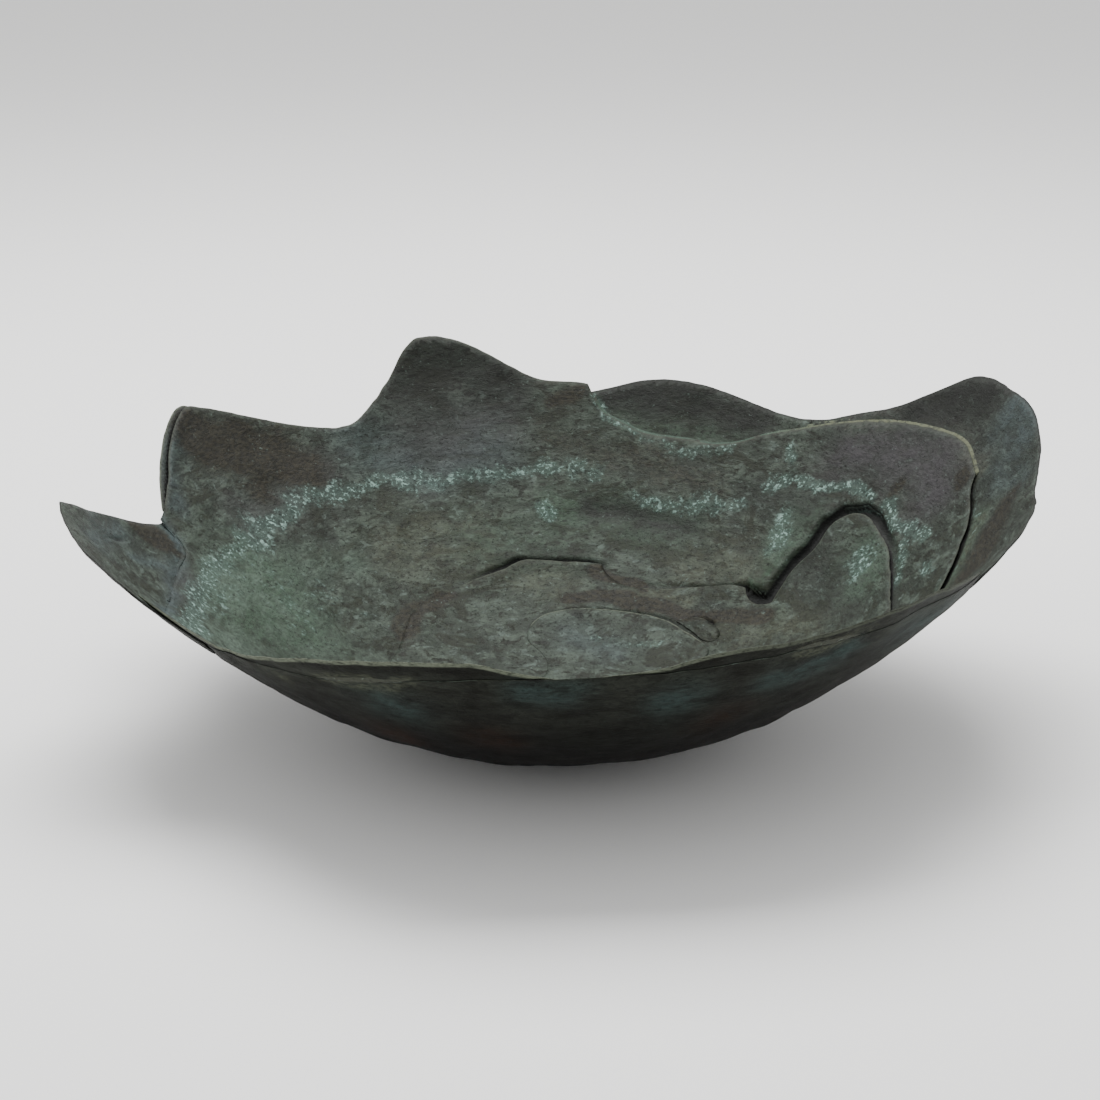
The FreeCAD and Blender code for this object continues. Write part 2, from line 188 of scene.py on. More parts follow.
# Patina on the inner faces: tint -> (strength, width in mm, line or spot).
INSIDE_TINTS = {
    "verdigris": [
        (1.1, 8, [(207, 178), (201, 171), (192, 166)]),
        (0.88, 8, [(192, 166), (178, 164), (163, 166)]),
        (0.85, 7, [(163, 166), (157, 168), (147, 170), (137, 175.5), (127, 175)]),
        (0.72, 6, [(127, 175), (120, 176.5), (112, 174), (103, 173.5), (92, 174.5), (82, 173.5)]),
        (0.5, 9, [(150, 163), (166, 158), (182, 156)]),
        (0.75, 5, [(75, 162), (64, 162), (55, 165)]),
        (1.0, 3, [(51.6, 190), (49.5, 186.5)]),
        (0.85, 5, [(53, 176), (47.6, 179.5)]),
        (0.95, 3.5, [(46, 180), (40.6, 180.8), (35.9, 181.5), (31, 182.5)]),
        (0.85, 8, [(45, 164), (43.1, 155)]),
        (0.95, 4, [(28, 182), (20, 178.5), (11.6, 178.3)]),
        (0.8, 4.5, [(17, 173), (13.4, 168.7), (6.6, 162.9)]),
        (0.75, 4, [(1.3, 172.2), (5, 174)]),
        (0.85, 8, [(22.5, 160), (19, 154)]),
        (1.0, 4, [(92.5, 155.6), (91, 155.8)]),
        (0.45, 20, [(157, 148), (163, 128), (146, 127)]),
        (0.9, 2.5, [(84.4, 205), (82.4, 200), (80.5, 196.5), (77, 193)]),
        (0.6, 4, [(76, 188), (68, 187), (60, 188)]),
        (0.45, 6, [(80, 86), (68, 76), (50, 82)]),
        (0.35, 3, [(30, 121), (44, 112), (62, 112)]),
        (0.6, 2, [(9, 200), (4, 195), (-6, 183)]),
    ],
    "brown": [
        (1.0, 16, [(147, 212), (140, 202), (133, 190)]),
        (0.7, 10, [(144, 186), (133, 203)]),
        (1.2, 5, [(79, 122), (74, 119.5), (68, 116.5)]),
        (1.2, 4, [(86, 106), (78, 107.5), (70, 106)]),
        (1.2, 5, [(66, 106), (56, 106), (48, 108)]),
        (1.1, 5.5, [(47, 108), (38, 112.5), (30, 117)]),
        (0.7, 5, [(120, 116), (130, 111), (138, 104)]),
        (0.8, 6, [(28, 189)]),
        (0.9, 4, [(17, 203), (14.5, 199)]),
        (0.8, 5, [(90, 205), (86.5, 207)]),
        (0.8, 9, [(-4, 198), (1, 206), (-12, 190)]),
        (1.0, 9, [(172, 191), (170.5, 186)]),
        (0.8, 5, [(117, 114), (126, 108), (139, 97)]),
        (0.7, 5, [(190, 170), (197, 174)]),
        (0.5, 12, [(60, 172), (75, 180), (90, 188)]),
    ],
    "violet": [
        (1.0, 15, [(41, 196), (34, 200), (26, 203), (18, 194)]),
        (0.5, 16, [(112, 190), (97, 197)]),
        (0.5, 8, [(176, 170), (186, 170)]),
        (0.5, 12, [(150, 176), (130, 184)]),
    ],
    "dark": [
        (1.0, 10, [(58, 203), (64, 207), (75, 210), (82, 207)]),
        (1.0, 11, [(33, 220), (27, 226), (22, 228)]),
        (0.8, 15, [(97, 214), (106, 224), (112, 212)]),
        # Painted shade: this dark band follows the beaten groove and stands in for the shade in it.
        (0.9, 6, [(84, 157), (76, 155), (63, 152)]),
        (0.9, 4, [(135.5, 156)]),
        (0.6, 9, [(54, 172), (42, 172)]),
        (0.6, 10, [(24, 150), (34, 150), (8, 140)]),
        (0.5, 6, [(100, 133), (86, 134)]),
    ],
    "moss": [
        (0.9, 22, [(157, 149), (163, 128), (176, 142)]),
        (0.6, 5, [(83, 204), (80, 199), (72, 196), (60, 196)]),
        (0.8, 9, [(90, 156), (78, 154), (64, 151)]),
        (0.6, 12, [(42, 165), (40, 150)]),
        (1.0, 5, [(42, 133.5), (40, 133.5), (39.2, 141)]),
        (0.7, 13, [(24, 162), (14, 155)]),
        (0.6, 3, [(45, 205), (34, 211), (22, 212)]),
        (0.7, 5, [(6, 197), (-2, 188), (-12, 176)]),
        (0.5, 16, [(104, 140), (90, 140)]),
    ],
    "slate": [
        (1.0, 11, [(16, 225), (9, 223)]),
        (0.6, 8, [(10, 213), (1, 213)]),
        (1.0, 3.5, [(166, 190), (168, 181), (174, 178)]),
        (1.0, 3.5, [(174, 178), (182, 176), (193, 177), (204, 184)]),
        (0.7, 4, [(178, 177), (180, 186), (184, 192)]),
        (0.7, 7, [(190, 207), (184, 206), (178, 200)]),
        (0.7, 5, [(147, 218), (154, 208), (162, 192)]),
        (0.6, 14, [(122, 196), (112, 180), (100, 186)]),
        (0.5, 10, [(84, 80), (64, 70)]),
    ],
    "pale": [
        (0.6, 12, [(96, 121), (88, 115)]),
        (0.6, 4, [(72, 112), (62, 113), (54, 114)]),
        (0.5, 18, [(108, 142), (116, 150), (124, 140)]),
        (0.5, 14, [(58, 135), (46, 138)]),
        (0.5, 14, [(30, 104), (14, 128)]),
        (0.9, 3, [(4, 195), (-5, 185), (-14, 174)]),
        (0.8, 2.5, [(43, 206.5), (34, 211), (25, 213), (18, 210), (13, 206)]),
    ],
    "mist": [
        (1.0, 19, [(156, 150), (172, 150), (163, 128)]),
        (0.8, 13, [(199, 159), (182, 150)]),
        (0.6, 10, [(135, 143), (152, 156)]),
        (0.6, 8, [(44, 162), (41, 150)]),
        (0.5, 9, [(21, 160), (14, 150)]),
    ],
}
OUTSIDE_TINTS = {
    "slate": [
        (1.0, 13, [(-112, 176)]), (0.9, 8, [(-93, 194), (-88, 190)]), (1.0, 11, [(-74, 181)]),
        (0.9, 9, [(-62, 184), (-52, 192)]), (0.8, 11, [(-42, 196), (-34, 192)]),
        (0.8, 14, [(30, 170)]), (0.8, 16, [(100, 160)]), (0.8, 16, [(170, 150)]),
    ],
    "brown": [
        (1.0, 13, [(-118, 140)]), (0.9, 12, [(-100, 149)]), (0.7, 12, [(-64, 160)]),
        (0.8, 20, [(60, 130)]), (0.8, 18, [(140, 150)]), (0.8, 16, [(200, 150)]),
    ],
    "pale": [(0.9, 6, [(-134, 190), (-122, 192)]), (0.6, 5, [(-48, 202), (-38, 203)])],
    "verdigris": [
        (0.7, 2, [(-121, 187), (-114, 190), (-107, 194)]), (0.6, 2, [(-119, 191), (-112, 195)]),
        (0.8, 2, [(-61, 200), (-53, 200)]), (0.6, 2, [(-59, 203), (-50, 202)]),
        (0.8, 2.5, [(-127, 181)]), (0.5, 14, [(75, 186)]), (0.5, 12, [(165, 176)]),
    ],
}
TINT_LAYERS = [
    ("tint_a", ["verdigris", "brown", "violet", "dark"]),
    ("tint_b", ["moss", "slate", "pale", "mist"]),
]


def plan(angle, reach):
    """A place seen from above, in mm."""
    turn = math.radians(angle)
    return np.array([reach * math.cos(turn), reach * math.sin(turn)])


# --- fields over the plan, in mm --------------------------------------------------------------

def nearest_on_line(points, line):
    """Distance from each point to a line of points, and where along it the nearest place is."""
    best = np.full(len(points), 1e9)
    place = np.zeros(len(points))
    if len(line) == 1:
        return np.linalg.norm(points - line[0], axis=1), place
    for index, (start, end) in enumerate(zip(line, line[1:])):
        along = end - start
        share = np.clip((points - start) @ along / max(along @ along, 1e-9), 0, 1)
        distance = np.linalg.norm(points - start - share[:, None] * along, axis=1)
        closer = distance < best
        best[closer] = distance[closer]
        place[closer] = index + share[closer]
    return best, place


def ridge(points, run, power):
    """Height of a ridge along a run of (angle, reach, height, width)."""
    line = [plan(angle, reach) for angle, reach, height, width in run]
    distance, place = nearest_on_line(points, line)
    steps = np.arange(len(run))
    height = np.interp(place, steps, [row[2] for row in run])
    width = np.interp(place, steps, [row[3] for row in run])
    return height * np.exp(-((distance / width) ** power))


def spots(points, rows):
    """Sum of soft round swellings of (angle, reach, height, width)."""
    total = np.zeros(len(points))
    for angle, reach, height, width in rows:
        distance = np.linalg.norm(points - plan(angle, reach), axis=1)
        total += height * np.exp(-((distance / width) ** 2))
    return total


def strongest(points, rows):
    """The strongest of several soft lines of (strength, width, line)."""
    total = np.zeros(len(points))
    for strength, width, places in rows:
        line = [plan(angle, reach) for angle, reach in places]
        distance = nearest_on_line(points, line)[0]
        total = np.maximum(total, strength * np.exp(-((distance / width) ** 2)))
    return total


def smooth_noise(points, scale, seed):
    """Soft noise from -1 to 1 that changes over about the given distance."""
    table = np.random.default_rng(seed).uniform(-1, 1, (128, 128))
    place = points / scale + 61.3
    cell = np.floor(place).astype(int)
    part = place - cell
    part = part * part * part * (part * (part * 6 - 15) + 10)
    x0, y0 = cell[:, 0] % 128, cell[:, 1] % 128
    x1, y1 = (x0 + 1) % 128, (y0 + 1) % 128
    low = table[x0, y0] * (1 - part[:, 0]) + table[x1, y0] * part[:, 0]
    high = table[x0, y1] * (1 - part[:, 0]) + table[x1, y1] * part[:, 0]
    return low * (1 - part[:, 1]) + high * part[:, 1]


def hammer_marks(points, spacing, radius, depth, seed):
    """Overlapping round hammer marks, one in each cell of a jittered grid."""
    random = np.random.default_rng(seed)
    offset_x = random.uniform(0, 1, (128, 128))
    offset_y = random.uniform(0, 1, (128, 128))
    force = random.uniform(0.3, 1, (128, 128))
    place = points / spacing + 50.0
    cell = np.floor(place).astype(int)
    total = np.zeros(len(points))
    for step_x in (-1, 0, 1):
        for step_y in (-1, 0, 1):
            x = cell[:, 0] + step_x
            y = cell[:, 1] + step_y
            centre_x = x + offset_x[x % 128, y % 128]
            centre_y = y + offset_y[x % 128, y % 128]
            distance = np.hypot(place[:, 0] - centre_x, place[:, 1] - centre_y) * spacing / radius
            total -= depth * force[x % 128, y % 128] * np.clip(1 - distance**2, 0, 1) ** 2
    return total


def fade(values, low, high):
    """A smooth step from 0 at low to 1 at high."""
    share = np.clip((values - low) / (high - low), 0, 1)
    return share * share * (3 - 2 * share)


# --- the shell that the sheets lie on -----------------------------------------------------------

FIT_DEGREE = 10
FIT_SCALE = 240.0
FIT_TERMS = [(i, j) for i in range(FIT_DEGREE + 1) for j in range(FIT_DEGREE + 1 - i)]


def facing(node, downwards):
    """The corners, in mm, of a CAD node's faces that look out of the bowl or into it."""
    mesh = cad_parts[node].data
    corners = np.zeros(len(mesh.vertices) * 3)
    mesh.vertices.foreach_get("co", corners)
    corners = corners.reshape(-1, 3) / MM
    chosen = set()
    for polygon in mesh.polygons:
        if polygon.normal.z < -0.3 and downwards or polygon.normal.z > 0.3 and not downwards:
            chosen.update(polygon.vertices)
    return corners[sorted(chosen)]


def fit_shell():
    """Coefficients of a smooth height that follows the outermost faces of the CAD sheets."""
    points = np.concatenate([facing(node, True) for node in OUTER_SHEETS])
    points = points[points[:, 2] > 0.01]
    x, y = points[:, 0] / FIT_SCALE, points[:, 1] / FIT_SCALE
    columns = np.stack([x**i * y**j for i, j in FIT_TERMS], axis=1)
    return np.linalg.lstsq(columns, points[:, 2], rcond=None)[0]


SHELL = fit_shell()


def shell_height(points):
    """Height of the outermost face above the plan, and the surface's inward normal."""
    x, y = points[:, 0] / FIT_SCALE, points[:, 1] / FIT_SCALE
    powers_x = [x**0]
    powers_y = [y**0]
    for _ in range(FIT_DEGREE):
        powers_x.append(powers_x[-1] * x)
        powers_y.append(powers_y[-1] * y)
    height = np.zeros(len(points))
    slope_x = np.zeros(len(points))
    slope_y = np.zeros(len(points))
    for (i, j), weight in zip(FIT_TERMS, SHELL):
        height += weight * powers_x[i] * powers_y[j]
        if i:
            slope_x += weight * i * powers_x[i - 1] * powers_y[j] / FIT_SCALE
        if j:
            slope_y += weight * j * powers_x[i] * powers_y[j - 1] / FIT_SCALE
    normal = np.stack([-slope_x, -slope_y, np.ones(len(points))], axis=1)
    return height, normal / np.linalg.norm(normal, axis=1)[:, None]


def on_shell(points, offset, relief):
    """Where the surface that lies offset into the bowl crosses each plan point, plus a relief.

    The relief is laid on along the surface's normal.
    """
    foot = points.copy()
    for _ in range(5):
        normal = shell_height(foot)[1]
        foot = points - normal[:, :2] * offset
    height, normal = shell_height(foot)
    place = normal * relief[:, None]
    place[:, :2] += points
    place[:, 2] += height + normal[:, 2] * offset
    return place


def offset_of(node, downwards):
    """How far into the bowl a node's outer or inner face lies."""
    points = facing(node, downwards)
    points = points[points[:, 2] > 0.01]
    height, normal = shell_height(points[:, :2])
    return float(np.median((points[:, 2] - height) * normal[:, 2]))


def hammering(points):
    """The relief that every sheet shares, so that lapped sheets stay in contact."""
    reach = np.hypot(points[:, 0], points[:, 1])
    relief = 0.55 * smooth_noise(points, 62.0, 3) + 0.45 * smooth_noise(points, 27.0, 5)
    relief += 0.16 * smooth_noise(points, 9.0, 7)
    relief += hammer_marks(points, 15.0, 13.0, 0.6, 11)
    relief += hammer_marks(points, 8.0, 6.0, 0.16, 13)
    relief += spots(points, LOBE_SWELLINGS + WALL_SWELLINGS)
    relief += ridge(points, DARK_GROOVE, SOFT)
    return relief * fade(reach, 12.0, 40.0)


# --- outlines -----------------------------------------------------------------------------------

def plan_outline(node):
    """The closed edge of a node's inner face, in order, seen from above, in mm."""
    bm = bmesh.new()
    bm.from_mesh(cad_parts[node].data)
    bmesh.ops.remove_doubles(bm, verts=bm.verts, dist=0.002 * MM)
    bm.normal_update()
    following = {}
    for edge in bm.edges:
        if len(edge.link_faces) != 2:
            continue
        kinds = [face.normal.z > 0.2 for face in edge.link_faces]
        if kinds[0] != kinds[1]:
            a, b = edge.verts
            following.setdefault(a, []).append(b)
            following.setdefault(b, []).append(a)
    start = next(iter(following))
    loop = [start]
    previous = None
    current = start
    while True:
        choices = [v for v in following[current] if v is not previous]
        previous, current = current, choices[0]
        if current is start:
            break
        loop.append(current)
    outline = np.array([[v.co.x, v.co.y] for v in loop]) / MM
    bm.free()
    x, y = outline[:, 0], outline[:, 1]
    area = 0.5 * np.sum(x * np.roll(y, -1) - np.roll(x, -1) * y)
    return outline if area > 0 else outline[::-1]


def even_outline(outline, step):
    """The outline with even steps between its corners, which it keeps."""
    back = outline - np.roll(outline, 1, axis=0)
    ahead = np.roll(outline, -1, axis=0) - outline
    cross = back[:, 0] * ahead[:, 1] - back[:, 1] * ahead[:, 0]
    turn = np.degrees(np.arctan2(cross, np.sum(back * ahead, axis=1)))
    corners = [int(i) for i in np.nonzero(np.abs(turn) > 28)[0]] or [0]
    even = []
    for index, first in enumerate(corners):
        last = corners[(index + 1) % len(corners)]
        count = (last - first) % len(outline) or len(outline)
        stretch = outline[[(first + k) % len(outline) for k in range(count + 1)]]
        lengths = np.concatenate([[0], np.cumsum(np.linalg.norm(np.diff(stretch, axis=0), axis=1))])
        pieces = max(1, int(round(lengths[-1] / step)))
        places = np.linspace(0, lengths[-1], pieces + 1)[:-1]
        even.append(np.stack([np.interp(places, lengths, stretch[:, k]) for k in (0, 1)], axis=1))
    return np.concatenate(even)


def outward(outline):
    """The direction out of the outline at each of its points."""
    along = np.roll(outline, -1, axis=0) - np.roll(outline, 1, axis=0)
    side = np.stack([along[:, 1], -along[:, 0]], axis=1)
    return side / np.maximum(np.linalg.norm(side, axis=1), 1e-9)[:, None]


def inside(points, outline):
    """Which points lie inside a closed outline."""
    hits = np.zeros(len(points), bool)
    for (x0, y0), (x1, y1) in zip(outline, np.roll(outline, -1, axis=0)):
        if y0 == y1:
            continue
        crosses = (points[:, 1] > y0) != (points[:, 1] > y1)
        hits ^= crosses & (points[:, 0] < x0 + (points[:, 1] - y0) * (x1 - x0) / (y1 - y0))
    return hits


def distance_to(points, outline):
    """Distance from each point to the nearest point of an outline."""
    nearest = np.empty(len(points))
    for start in range(0, len(points), 4000):
        part = points[start:start + 4000]
        gaps = part[:, None, :] - outline[None, :, :]
        nearest[start:start + 4000] = np.sqrt(np.min(np.sum(gaps * gaps, axis=2), axis=1))
    return nearest


def honeycomb(outline, step):
    """Evenly spread points inside an outline."""
    low, high = outline.min(axis=0), outline.max(axis=0)
    row_gap = step * math.sqrt(3) / 2
    rows = np.arange(low[1], high[1] + row_gap, row_gap)
    columns = np.arange(low[0], high[0] + step, step)
    grid = [
        (x + (step / 2 if number % 2 else 0), y)
        for number, y in enumerate(rows) for x in columns
    ]
    grid = np.array(grid)
    return grid[inside(grid, outline)]


def filled(outline, step, sharp_runs=()):
    """Points and triangles that fill an outline, finer beside the sharp runs.

    The outline's own points come first.
    """
    grid = honeycomb(outline, step)
    if sharp_runs:
        fine = honeycomb(outline, FINEST_STEP)
        near_grid = np.full(len(grid), FAR)
        near_fine = np.full(len(fine), FAR)
        for run in sharp_runs:
            line = [plan(angle, reach) for angle, reach, height, width in run]
            near_grid = np.minimum(near_grid, nearest_on_line(grid, line)[0])
            near_fine = np.minimum(near_fine, nearest_on_line(fine, line)[0])
        fine = fine[near_fine < FINE_ZONE]
        grid = grid[near_grid > FINE_ZONE + 0.5 * step]
        fine = fine[distance_to(fine, outline) > 0.62 * FINEST_STEP]
        grid = grid[distance_to(grid, outline) > 0.62 * step]
        points = np.concatenate([outline, grid, fine])
    else:
        grid = grid[distance_to(grid, outline) > 0.62 * step]
        points = np.concatenate([outline, grid])
    ring = list(range(len(outline)))
    vectors = [Vector(point) for point in points]
    result = delaunay_2d_cdt(vectors, [], [ring], 1, 1e-4)
    made, faces, origins = result[0], result[2], result[3]
    number = {}
    for index, sources in enumerate(origins):
        for source in sources:
            number[source] = index
    order = [number[i] for i in ring]
    return np.array([[v.x, v.y] for v in made]), np.array(faces), np.array(order)


# --- building the sheets ------------------------------------------------------------------------

FAR = 30.0
FINEST_STEP = 0.9
FINE_ZONE = 5.0
RIM_ROUNDING = 0.24
RIM_BULGE = 0.28
SHEET_CLEARANCE = 0.03
FEATHERED = 0.15
FEATHER_REACH = 8.0
RIM_ZONE = 1.4
OUTLINE_STEP = 1.3
BRAZE_STEP = 0.55
BRAZE_HIDES = (1.5, 5.0)
UNDER_LAP = 0.6
FRONT_WEAR_AND_LIGHT_LOST = 0.6
BRAZE_CROWN = 1.0
OUTERMOST_SHARE = 0.5
CHANNELLED = 2.5
RIM_BUTT = plan(50, 198)
BUTT_REACH = 12.0
BUTT_GROWTH = 0.2
HIDES = 6.0
SUNK = 0.12
BEAD_SHARE = 0.62
CROWNS = {"left_seam_braze": 0.55, "front_braze_left": 1.1, "front_braze_right": 1.1}

OUTLINES = {name: plan_outline(name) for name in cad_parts}
BRAZED = np.concatenate([even_outline(OUTLINES[name], 0.7) for name in INNER_BRAZES + OUTER_BRAZES])
ALL_TINTS = [tint for _, tints in TINT_LAYERS for tint in tints]


def tint_values(points, table):
    """One column of mask values for each tint."""
    warp = np.stack([smooth_noise(points, 14.0, 21), smooth_noise(points, 14.0, 22)], axis=1) * 3.0
    columns = []
    for tint in ALL_TINTS:
        columns.append(np.clip(strongest(points + warp, table.get(tint, [])), 0, 1))
    return np.stack(columns, axis=1)


def store(mesh, name, values):
    """Keep one number or one colour for each vertex of a mesh."""
    if values.ndim == 1:
        mesh.attributes.new(name, "FLOAT", "POINT").data.foreach_set("value", values)
        return
    colours = np.ones((len(values), 4))
    colours[:, :values.shape[1]] = values
    mesh.attributes.new(name, "FLOAT_COLOR", "POINT").data.foreach_set("color", colours.ravel())


def shaping(name, points, offset):
    """The dents and lifted edges of one sheet, where its face lies offset into the bowl.

    A channel beaten from inside is shallower on the faces further out.
    """
    share = min(1.0, OUTERMOST_SHARE + (1 - OUTERMOST_SHARE) * offset / CHANNELLED)
    total = np.zeros(len(points))
    for power, run in SHAPING.get(name, []):
        total += ridge(points, run, power) * (share if power == SHARP else 1.0)
    return total


def build_sheet(name, step, torn, materials):
    """A sheet with hammered faces and a rounded rim, which stands for its CAD node."""
    outer = offset_of(name, True) + SHEET_CLEARANCE
    inner = offset_of(name, False) - SHEET_CLEARANCE
    thickness = inner - outer
    outline = even_outline(OUTLINES[name], min(step, OUTLINE_STEP))
    seed = sorted(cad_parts).index(name)
    wander = 0.5 + 0.5 * smooth_noise(outline, 4.0, 40 + seed)
    wander = 0.12 + torn * wander * (0.6 + 0.4 * smooth_noise(outline, 13.0, 60 + seed))
    if name in ("right_lobe", "back_crest"):
        at_butt = np.exp(-((np.linalg.norm(outline - RIM_BUTT, axis=1) / BUTT_REACH) ** 2))
        wander = wander * (1 - at_butt) - BUTT_GROWTH * at_butt
    outline = outline - outward(outline) * wander[:, None]
    sharp_runs = [run for power, run in SHAPING.get(name, []) if power == SHARP]
    points, faces, ring = filled(outline, step, sharp_runs)
    edge = distance_to(points, outline)
    edge[ring] = 0
    flush = strongest(points, FLUSH.get(name, []))
    thin = (1 - FEATHERED) * flush * (1 - fade(edge, 0.5, FEATHER_REACH)) * thickness
    relief = hammering(points)
    inner_relief = relief + shaping(name, points, inner)
    outer_relief = relief + shaping(name, points, outer)
    rounding = RIM_ROUNDING * (thickness - thin) * np.clip(1 - edge / RIM_ZONE, 0, 1)
    thin_below = thin if name == "outer_dish" else 0 * thin
    thin_above = thin - thin_below
    top = on_shell(points, inner, inner_relief - rounding - thin_above)
    bottom = on_shell(points, outer, outer_relief + rounding + thin_below)
    bottom[:, 2] = np.maximum(bottom[:, 2], 0.0)
    rim_points = points[ring] + outward(points[ring]) * RIM_BULGE * (thickness - thin[ring])[:, None]
    rise = (thin_below - thin_above)[ring] / 2
    rise = rise + (inner_relief + outer_relief)[ring] / 2
    middle = on_shell(rim_points, (outer + inner) / 2, rise)
    return finish_sheet(name, points, faces, ring, (top, middle, bottom), edge, flush, materials)


def finish_sheet(name, points, faces, ring, shells, edge, flush, materials):
    """Join the two faces of a sheet round its rim, and store its masks."""
    top, middle, bottom = shells
    count = len(points)
    rim = np.arange(2 * count, 2 * count + len(ring))
    after = np.roll(ring, -1)
    rim_after = np.roll(rim, -1)
    upper = np.stack([ring, rim, rim_after, after], axis=1)
    lower = np.stack([rim, ring + count, after + count, rim_after], axis=1)
    polygons = faces.tolist() + (faces[:, ::-1] + count).tolist() + upper.tolist() + lower.tolist()
    mesh = bpy.data.meshes.new(name + "_sheet")
    mesh.from_pydata((np.concatenate([top, bottom, middle]) * MM).tolist(), [], polygons)
    for material in materials:
        mesh.materials.append(material)
    slots = [0] * len(faces) + [1] * len(faces) + [0] * len(ring) + [1] * len(ring)
    mesh.polygons.foreach_set("material_index", slots)
    # The seam distances drive painted shade beside the edges of sheets that lie on this one, and on the
    # outside of the walls beside the dish's edge; near brazes there is none.
    brazed = FAR * (1 - fade(distance_to(points, BRAZED), *BRAZE_HIDES))
    seam = np.full(count, FAR)
    for upper_sheet in LIES_ON.get(name, []):
        near = distance_to(points, even_outline(OUTLINES[upper_sheet], 0.5))
        hidden = strongest(points, FLUSH.get(upper_sheet, []))
        seam = np.minimum(seam, near + HIDES * hidden)
    seam = np.minimum(seam + brazed, FAR)
    below = np.full(count, FAR)
    if name in WALL_SHEETS:
        below = distance_to(points, even_outline(OUTLINES["outer_dish"], 0.5)) + UNDER_LAP + brazed
    # Channel depth, which also drives the painted shade in the channels.
    depth = -np.minimum(shaping(name, points, CHANNELLED), 0)
    # How pale each sheet's edge is painted, partly as wear and partly as painted highlight; on the
    # outside it also sets the painted shadow under the rim. Along the front rim it fades towards +X.
    edge_wear_and_lighting = np.full(count, PALE_EDGES.get(name, 0.0)) * (1 - flush)
    if name == "front_wall":
        edge_wear_and_lighting *= 1 - FRONT_WEAR_AND_LIGHT_LOST * fade(points[:, 0], 0.0, 120.0)
    store(mesh, "depth", np.concatenate([depth, 0 * depth, depth[ring]]))
    store(mesh, "edge_wear_and_lighting", np.concatenate([edge_wear_and_lighting, edge_wear_and_lighting, edge_wear_and_lighting[ring]]))
    shown = edge + HIDES * flush
    store(mesh, "edge", np.concatenate([shown, shown, shown[ring]]))
    store(mesh, "seam", np.concatenate([seam, below, seam[ring]]))
    inside_tints = tint_values(points, INSIDE_TINTS)
    outside_tints = tint_values(points, OUTSIDE_TINTS)
    tints = np.concatenate([inside_tints, outside_tints, inside_tints[ring]])
    start = 0
    for layer, names in TINT_LAYERS:
        store(mesh, layer, tints[:, start:start + len(names)])
        start += len(names)
    mesh.shade_smooth()
    mesh.update()
    piece = bpy.data.objects.new(name + "_hammered", mesh)
    bpy.context.scene.collection.objects.link(piece)
    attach(piece, "root")
    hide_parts(name)
    return piece


# --- braze runs ---------------------------------------------------------------------------------

def build_braze(name, step, outside, material):
    """A lumpy fillet of filler in the step beside a sheet's edge."""
    outer = offset_of(name, True)
    inner = offset_of(name, False)
    beside = "outer_dish" if outside else "back_wall"
    outline = even_outline(OUTLINES[name], step)
    points, faces, ring = filled(outline, step)
    away = distance_to(points, even_outline(OUTLINES[beside], 0.4))
    across = np.clip(away / max(away.max(), step), 0, 1)
    lumps = 0.72 + 0.22 * smooth_noise(points, 2.2, 81) + 0.2 * smooth_noise(points, 6.0, 82)
    bead = 1 - (across / BEAD_SHARE) ** 1.6
    if outside:
        turn = np.degrees(np.arctan2(points[:, 1], points[:, 0])) % 360
        share = (turn - turn.min()) / np.ptp(turn)
        bead = bead - (2 * share - 1) ** 2
    height = np.maximum(CROWNS.get(name, BRAZE_CROWN) * bead * lumps, -SUNK)
    relief = hammering(points) + shaping("right_lobe", points, outer)
    if outside:
        top = on_shell(points, inner, relief + 2 * SUNK)
        bottom = on_shell(points, inner, relief - height)
    else:
        top = on_shell(points, outer, relief + height)
        bottom = on_shell(points, outer, relief - 2 * SUNK)
    side = (height[ring] / 2 - SUNK) * (-1 if outside else 1)
    middle = on_shell(points[ring], inner if outside else outer, relief[ring] + side)
    shells = (top, middle, bottom)
    edge = np.full(len(points), FAR)
    return finish_sheet(name, points, faces, ring, shells, edge, 0 * edge, [material, material])


# --- materials ----------------------------------------------------------------------------------

STREAK = 2.4


